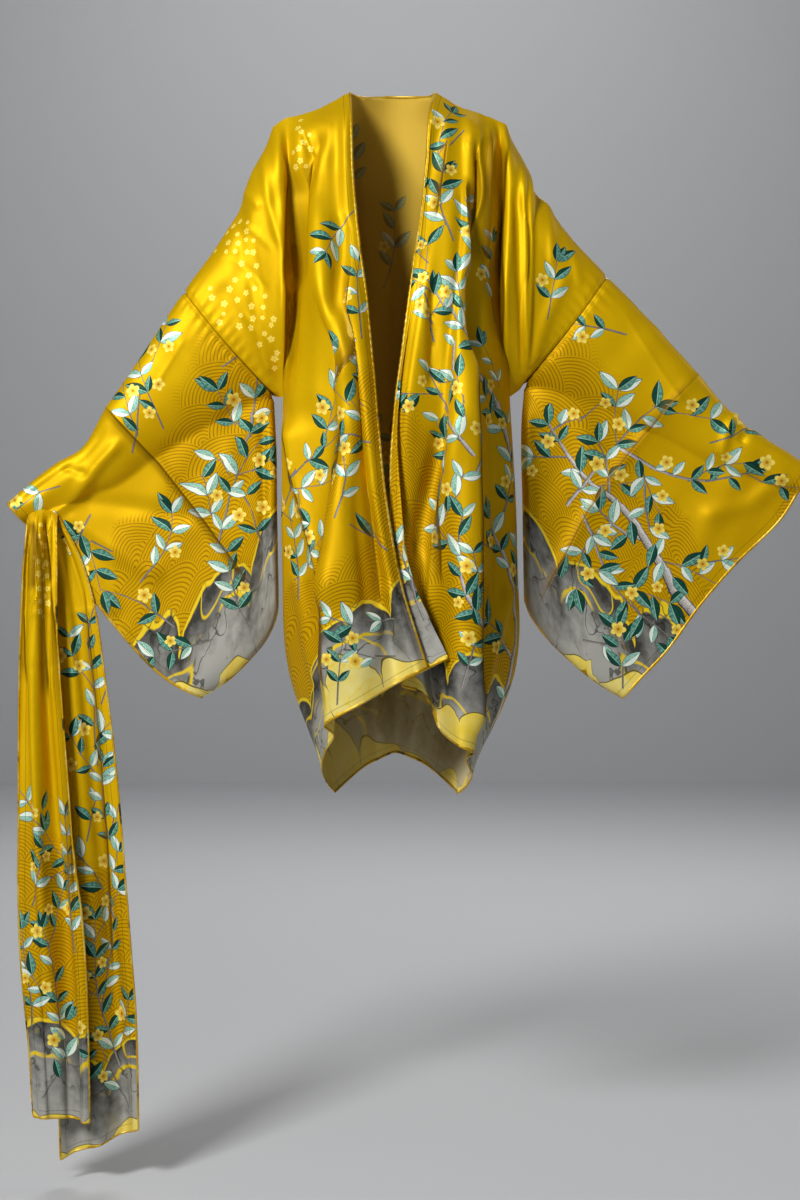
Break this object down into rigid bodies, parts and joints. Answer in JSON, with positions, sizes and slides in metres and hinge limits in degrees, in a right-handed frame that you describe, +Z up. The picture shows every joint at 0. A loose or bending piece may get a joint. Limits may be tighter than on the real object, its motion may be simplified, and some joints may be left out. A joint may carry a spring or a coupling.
{
  "type": "short open-front kimono robe with its sash",
  "caption": "Short satin kimono robe worn open, with wide hanging sleeves held out to the sides and its matching sash hung over one wrist",
  "frame": {"origin": "On the shoulder line, midway between the two neck points, where the wearer's shoulders hold the robe", "axes": "+Z up, -Y the front of the robe, +X towards the wearer's left sleeve, so the wearer's right half has negative x"},
  "size_m": [1.0545, 0.2529, 1.4098],
  "materials": {
    "printed_satin": "golden-yellow silk satin with a leafy print, glossy on its face and paler on its reverse"
  },
  "bodies": {
    "root": {"front_right": "printed_satin", "front_left": "printed_satin", "back": "printed_satin", "sleeve_right": "printed_satin", "sleeve_left": "printed_satin", "sash_front_fall": "printed_satin", "sash_back_fall": "printed_satin"}
  },
  "joints": []
}
